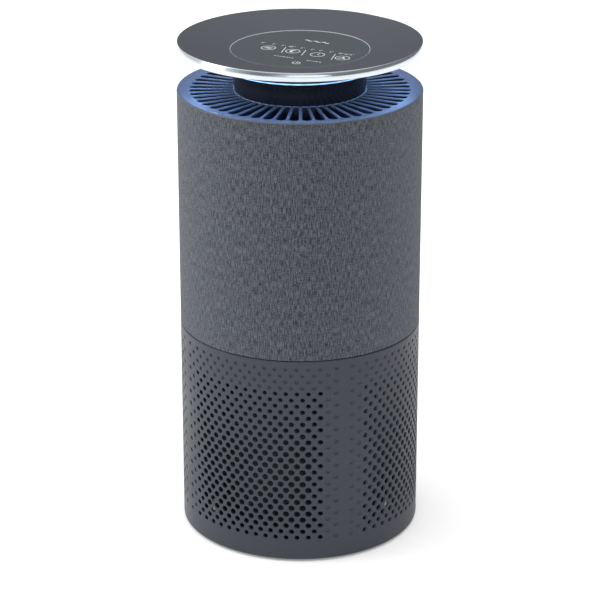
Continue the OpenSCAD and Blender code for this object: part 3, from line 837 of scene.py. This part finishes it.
def waves(sheet, centre, count, width, pitch, height):
    for n in range(count):
        y = centre[1] + (n - (count - 1) / 2) * pitch
        sheet.line([(centre[0] - width / 2 + width * i / 12, y + height * math.sin(2 * math.pi * i / 12))
                    for i in range(13)], 0.8)


def make_print():
    sheet = Print((11.2, -12.6), -3.5)
    ring_r, pitch = 7.2, 28.0
    spots = [((i - 1.5) * pitch, 0.0) for i in range(4)]
    for x, y in spots:
        sheet.arc((x, y), ring_r, 0, 360, 0.8, 40)
    # air flow
    waves(sheet, spots[0], 3, 8.4, 2.2, 0.7)
    # night mode: a crescent
    cx, cy = spots[1]
    outer = [(cx + 0.6 + 3.9 * math.cos(t), cy + 3.9 * math.sin(t))
             for t in (math.radians(50 + 260 * i / 20) for i in range(21))]
    inner = [(cx + 2.5 + 3.05 * math.cos(t), cy + 3.05 * math.sin(t))
             for t in (math.radians(76 + 208 * i / 20) for i in range(21))]
    sheet.band(outer, inner)
    # timer: two hands
    cx, cy = spots[2]
    sheet.line([(cx, cy + 4.6), (cx, cy), (cx + 3.2, cy - 1.6)], 0.7)
    for i in range(4):
        t = math.radians(90 * i)
        sheet.dot((cx + 5.5 * math.cos(t), cy + 5.5 * math.sin(t)), 0.35)
    # fan speed: three leaves
    cx, cy = spots[3]
    sheet.dot((cx, cy), 0.9)
    for i in range(3):
        t = math.radians(90 + 120 * i)
        leaf = []
        for j in range(16):
            u = 2 * math.pi * j / 16
            px, py = 2.9 + 2.1 * math.cos(u), 0.95 * math.sin(u) + 0.5 * math.cos(u)
            leaf.append((cx + px * math.cos(t) - py * math.sin(t), cy + px * math.sin(t) + py * math.cos(t)))
        sheet.prism(leaf)
    # slashes between the rings, and small marks above each of them
    for x in (-24.5, -1.5, 31.9):
        sheet.line([(x + 2.6, -10), (x - 2.6, 10)], 0.75)
    for x, count in ((-56.5, 1), (-44, 1), (-33, 1), (-25, 3), (-11.3, 1), (0.3, 1), (9.9, 1), (21.4, 1),
                     (32, 2), (38.5, 2), (44.5, 1)):
        for n in range(count):
            sheet.line([(x + n * 1.8 - 0.5, 13.0), (x + n * 1.8 + 0.3, 16.4)], 0.75)
        sheet.dot((x + count * 1.8, 16.4), 0.5)
    # two short lines of dashes, where the labels are
    for x0, x1, y in ((-23.5, -1, -22.8), (14, 30.5, -23.7)):
        x = x0
        step = 0
        while x < x1:
            width = (2.6, 1.5, 2.1, 3.0)[step % 4]
            sheet.line([(x, y), (x + width, y)], 1.1)
            x += width + 1.1
            step += 1
    # stand-by: a broken ring and a bar
    cx, cy = 8.9, -36.6
    sheet.arc((cx, cy), 3.8, 125, 415, 0.9, 28)
    sheet.line([(cx, cy), (cx, cy + 5.0)], 0.9)
    # a plain mark of three waves
    for n in range(3):
        x = -22.3 + n * 9.6
        sheet.line([(x + 8.2 * i / 10, 43.5 + 1.25 * math.sin(2 * math.pi * i / 10)) for i in range(11)], 1.5)
    return sheet.work.build("panel_print", [ink_mat], 30)


# ---- materials ----

shell_mat = plastic("shell_satin", (0.033, 0.038, 0.051), grain=0.5, roughness=0.45, ior=1.4)
gloss_mat = plastic("piano_black", (0.010, 0.010, 0.012), grain=1.4, roughness=0.26, depth=0.000002)
tray_mat = plastic("tray_black", (0.012, 0.013, 0.016), grain=0.4, roughness=0.35)
base_mat = plastic("base_black", (0.025, 0.027, 0.032), grain=0.7, roughness=0.55, depth=0.00006)
inner_mat = plastic("inner_grey", (0.022, 0.024, 0.028), grain=0.6, roughness=0.5)
fan_mat = plastic("fan_grey", (0.028, 0.030, 0.036), grain=0.9, roughness=0.45)
dish_mat = plastic("dish_lacquer", (0.056, 0.062, 0.076), roughness=0.42, depth=0.00001, ior=1.3)
# light grey painted highlight for the fine line round the panel's edge
dish_edge_highlight_mat = plastic("dish_edge_painted_highlight", (0.55, 0.57, 0.60), grain=0.4, roughness=0.3, depth=0.000002)
panel_mat = plastic("panel_acrylic", (0.058, 0.072, 0.082), grain=2.0, roughness=0.14, depth=0.000001,
                    spread=0.03, ior=1.32)
grille_mat = plastic("grille_satin", (0.070, 0.081, 0.104), grain=0.5, roughness=0.45, depth=0.00002)
# lighter than the grille: a painted highlight along the hub's bead
bead_highlight_mat = plastic("grille_bead_painted_highlight", (0.16, 0.18, 0.22), grain=0.5, roughness=0.3, depth=0.00001)
# far darker than the grille's own plastic: painted shade on the slot walls
slot_wall_shade_mat = plastic("grille_slot_walls_painted_shade", (0.006, 0.008, 0.014), grain=0.5, roughness=0.4, depth=0.00002)
component_mat = plastic("component_black", (0.03, 0.03, 0.034), grain=0.3, roughness=0.4)
magnet_mat = plastic("ferrite", (0.03, 0.03, 0.032), grain=0.25, roughness=0.5, depth=0.00004)
board_mat = plastic("solder_mask", (0.02, 0.12, 0.06), grain=1.2, roughness=0.25, depth=0.00002,
                    spread=0.2)
ribbon_mat = plastic("ribbon_grey", (0.55, 0.56, 0.57), grain=0.8, roughness=0.5)
ink_mat = plastic("print_ink", (0.72, 0.77, 0.80), grain=0.2, roughness=0.45, depth=0.000005)
rubber_mat = soft("rubber_black", (0.02, 0.02, 0.022), grain=0.5)
wire_mat = soft("wire_pvc", (0.025, 0.025, 0.027), grain=0.4, roughness=0.5, depth=0.00002)
foam_mat = soft("foam_grey", (0.05, 0.05, 0.055), grain=1.1, depth=0.0003, cells=True)
paper_mat = soft("filter_paper_white", (0.83, 0.84, 0.81), grain=0.35, depth=0.00004)
carbon_mat = soft("carbon_granules", (0.012, 0.012, 0.012), grain=2.2, roughness=0.6, depth=0.0006,
                  cells=True)
mesh_mat = soft("nylon_mesh", (0.022, 0.023, 0.026), grain=0.9, depth=0.0003, cells=True)
tab_mat = soft("tab_ribbon_red", (0.55, 0.10, 0.08), grain=0.5, depth=0.00008)
thread_mat = soft("thread_grey", (0.16, 0.17, 0.19), grain=0.25, depth=0.00003)
steel_mat = metal("zinc_steel", (0.58, 0.59, 0.61), roughness=0.32)
cast_mat = metal("die_cast", (0.55, 0.56, 0.58), roughness=0.48, grain=0.6, stretch=(1, 1, 1), depth=0.00004)
lamination_mat = metal("laminations", (0.28, 0.29, 0.31), roughness=0.45, stretch=(0.2, 0.2, 3),
                       depth=0.00006)
copper_mat = metal("copper_wire_enamel", (0.62, 0.27, 0.12), roughness=0.3, stretch=(1, 1, 4), depth=0.00008)


def polished_rim():
    """Polished metal, brushed round the rim, with slow streaks in its gloss; the same streaks also lighten
    and darken its colour as painted reflections.
    """
    m = Nodes("rim_polished")
    around, up = m.wrapped()
    reflection_and_gloss_streak = m.noise(m.stretched(around, 9.0, up, 500.0), 1.0, 3.0, 0.55)
    brushed = m.noise(m.stretched(around, 60.0, up, 9000.0), 1.0, 2.0)
    # in the base colour these slow streaks are painted reflections; in the roughness they are real variation
    # in gloss
    m.set(Base_Color=m.mix(m.remap(reflection_and_gloss_streak, 0.35, 0.65, 0.0, 1.0), (0.58, 0.63, 0.68), (0.70, 0.75, 0.80)),
          Roughness=m.remap(m.math("ADD", reflection_and_gloss_streak, m.math("MULTIPLY", brushed, 0.5)), 0.4, 1.1, 0.10, 0.24))
    m.set(Metallic=1.0)
    m.bump(brushed, 0.000004)
    return m.material


def melange_fabric():
    """Plain weave of slate and pale threads: each thread changes shade along its length."""
    m = Nodes("fabric_weave")
    around, up = m.wrapped()
    warp = m.math("SINE", m.math("MULTIPLY", around, math.pi / THREAD_PITCH))
    weft = m.math("SINE", m.math("MULTIPLY", up, math.pi / THREAD_PITCH))
    over = m.remap(m.math("MULTIPLY", warp, weft), -0.35, 0.35, 0.0, 1.0)
    down_threads = m.noise(m.stretched(around, 1 / (0.95 * MM), up, 1 / (8 * MM)), 1.0, 1.0, 0.5)
    cross_threads = m.noise(m.stretched(around, 1 / (5 * MM), up, 1 / (1.1 * MM), 5.0), 1.0, 1.0, 0.5)
    flecks = m.noise(m.join(around, m.math("MULTIPLY", up, 0.5), 9.0), 1 / (0.8 * MM), 1.0, 0.5)
    lead = m.math("MULTIPLY", over, 0.12)
    shade = m.math("ADD", m.math("MULTIPLY", down_threads, m.math("ADD", 0.42, lead)),
                   m.math("MULTIPLY", cross_threads, m.math("SUBTRACT", 0.26, lead)))
    shade = m.math("ADD", shade, m.math("MULTIPLY", flecks, 0.32))
    tone = m.remap(shade, 0.41, 0.60, 0.0, 1.0)
    m.set(Base_Color=m.mix(tone, (0.009, 0.0105, 0.0145), (0.116, 0.127, 0.151)))
    m.set(Roughness=0.92, Sheen_Weight=0.18, Sheen_Roughness=0.5, Sheen_Tint=(0.85, 0.92, 1.0, 1.0))
    height = m.math("ADD", m.math("MULTIPLY", m.math("ABSOLUTE", warp), over),
                    m.math("MULTIPLY", m.math("ABSOLUTE", weft), m.math("SUBTRACT", 1.0, over)))
    m.bump(m.math("ADD", height, m.math("MULTIPLY", shade, 0.6)), 0.00022)
    return m.material


def glowing_guide():
    """A milky light guide, lit from inside: a little uneven between its lamps."""
    m = Nodes("light_guide_lit")
    around, up = m.wrapped()
    lamps = m.math("SINE", m.math("MULTIPLY", around, 2 * math.pi / (22 * MM)))
    m.set(Base_Color=(0.55, 0.80, 1.0, 1),
          Roughness=m.remap(m.noise(m.place(), 400.0), 0.3, 0.7, 0.35, 0.5))
    glow = m.remap(lamps, -1.0, 1.0, 0.0, 1.0)
    m.set(Emission_Color=m.mix(glow, (0.10, 0.34, 0.75), (0.22, 0.52, 0.95)), Emission_Strength=1.2)
    return m.material


rim_mat = polished_rim()
fabric_mat = melange_fabric()
light_mat = glowing_guide()

# ---- pieces ----

PIECES = (
    (make_shell, "inlet_shell", "shell_plastic"),
    (make_fabric, "fabric_sleeve", "fabric_melange"),
    (make_grille, "outlet_grille", "grille_plastic"),
    (make_pedestal, "pedestal", "gloss_black"),
    (make_tray, "disc_tray", "inner_black"),
    (make_light, "light_ring", "light_diffuser"),
    (make_rim, "rim_band", "rim_metal"),
    (make_dish, "top_dish", "dish_paint"),
    (make_panel, "touch_panel", "touch_glass"),
)
for build, node_name, slot_name in PIECES:
    piece = build()
    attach(piece, "housing")
    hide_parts(node_name)

stitches = make_stitches()
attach(stitches, "housing")
printing = make_print()
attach(printing, "housing")

NODE_MATERIALS = {
    rubber_mat: ("rubber_feet", "motor_bushes"),
    base_mat: ("base_ring", "filter_door", "power_inlet", "lead_cover"),
    foam_mat: ("door_gasket", "filter_seal"),
    inner_mat: ("filter_lower_cap", "filter_upper_cap", "fan_deck", "inlet_guard", "upper_shell",
                "flow_cone"),
    fan_mat: ("impeller", "fan_housing", "diffuser"),
    steel_mat: ("base_screws", "deck_screws", "motor_screws", "housing_screws", "pedestal_screws",
                "motor_shaft", "motor_bearings", "inlet_pins", "rotor_can"),
    cast_mat: ("motor_mount",),
    lamination_mat: ("stator_core",),
    copper_mat: ("stator_windings",),
    magnet_mat: ("rotor_magnets",),
    board_mat: ("power_board", "main_board", "touch_board", "light_board"),
    component_mat: ("power_board_parts", "main_board_parts", "touch_board_parts"),
    wire_mat: ("mains_lead",),
    ribbon_mat: ("panel_cable",),
    paper_mat: ("filter_pleats",),
    carbon_mat: ("filter_carbon",),
    mesh_mat: ("filter_prefilter",),
    tab_mat: ("filter_pull_tab",),
}
for material, names in NODE_MATERIALS.items():
    for name in names:
        for holder in nodes[name].material_slots:
            holder.material = material

# ---- floor, lights and camera ----

VIEW_TURN = math.radians(23.9)
EYE_DISTANCE, EYE_HEIGHT, EYE_PITCH = 2.410, 1.183, math.radians(21.28)
GLOW_LAMPS = 12                         # small blue lamps under the disc
toward = Vector((math.sin(VIEW_TURN), -math.cos(VIEW_TURN), 0.0))
right = Vector((math.cos(VIEW_TURN), math.sin(VIEW_TURN), 0.0))


def aim(obj, place, target):
    obj.location = place
    obj.rotation_euler = (Vector(target) - Vector(place)).to_track_quat("-Z", "Y").to_euler()


def area_light(name, place, target, size, power, colour=(1.0, 1.0, 1.0)):
    """A rectangular lamp that faces its target."""
    data = bpy.data.lights.new(name, "AREA")
    data.shape = "RECTANGLE"
    data.size, data.size_y = size
    data.energy = power
    data.color = colour
    aim(new_object(name, data), place, target)


def make_floor():
    mesh = bpy.data.meshes.new("floor")
    reach = 14.0
    corners = [(-reach, -reach, 0), (reach, -reach, 0), (reach, reach, 0), (-reach, reach, 0)]
    mesh.from_pydata(corners, [], [(0, 1, 2, 3)])
    m = Nodes("floor_white")
    m.set(Base_Color=m.mix(m.noise(m.place(), 3.0), (0.93, 0.93, 0.93), (0.95, 0.95, 0.95)))
    m.set(Roughness=0.9, Emission_Color=(1.0, 0.985, 0.975, 1.0), Emission_Strength=0.20)
    mesh.materials.append(m.material)
    floor = new_object("floor", mesh)


def make_world():
    """A plain studio: bright overhead and to the left, dimmer behind and low down."""
    world = bpy.data.worlds.new("studio")
    bpy.context.scene.world = world
    world.use_nodes = True
    tree = world.node_tree
    coordinates = tree.nodes.new("ShaderNodeTexCoord").outputs["Generated"]

    def along(direction, lo, hi, gain):
        """A light that grows from 0 to gain as the sky's direction turns towards this one."""
        dot = tree.nodes.new("ShaderNodeVectorMath")
        dot.operation = "DOT_PRODUCT"
        tree.links.new(coordinates, dot.inputs[0])
        dot.inputs[1].default_value = direction
        ramp = tree.nodes.new("ShaderNodeMapRange")
        ramp.interpolation_type = "SMOOTHSTEP"
        tree.links.new(dot.outputs["Value"], ramp.inputs["Value"])
        for key, value in (("From Min", lo), ("From Max", hi), ("To Min", 0.0), ("To Max", gain)):
            ramp.inputs[key].default_value = value
        return ramp.outputs["Result"]

    total = tree.nodes.new("ShaderNodeMath")
    total.inputs[1].default_value = 0.22
    tree.links.new(along((0, 0, 1), 0.30, 0.75, 1.20), total.inputs[0])
    for term in (along(-right - toward * 0.2, 0.45, 1.0, 0.60), along(toward, 0.84, 0.96, 0.5)):
        more = tree.nodes.new("ShaderNodeMath")
        tree.links.new(total.outputs[0], more.inputs[0])
        tree.links.new(term, more.inputs[1])
        total = more
    background = tree.nodes["Background"]
    background.inputs["Color"].default_value = (1.0, 1.0, 1.0, 1.0)
    tree.links.new(total.outputs[0], background.inputs["Strength"])


make_floor()
make_world()
area_light("key_left", -right * 2.2 + toward * 0.2 + Vector((0, 0, 1.3)), (0, 0, 0.27), (1.0, 2.2), 19)
area_light("fill_front", toward * 2.4 + right * 0.3 + Vector((0, 0, 0.95)), (0, 0, 0.48), (1.6, 0.5), 3,
           (0.86, 0.94, 1.0))
for i in range(GLOW_LAMPS):
    a = 2 * math.pi * (i + 0.5) / GLOW_LAMPS
    area_light(f"glow_{i}", at(104 * MM, a, RIM_Z - 10 * MM), at(112 * MM, a, RIM_Z - 60 * MM),
               (0.05, 0.006), 0.032, (0.28, 0.50, 0.98))

camera = new_object("camera", bpy.data.cameras.new("camera"))
camera.data.sensor_width = 36
camera.data.lens = 147
eye = toward * EYE_DISTANCE + Vector((0, 0, EYE_HEIGHT))
aim(camera, eye, (0, 0, EYE_HEIGHT - EYE_DISTANCE * math.tan(EYE_PITCH)))
bpy.context.scene.camera = camera
bpy.context.scene.view_settings.view_transform = "Standard"
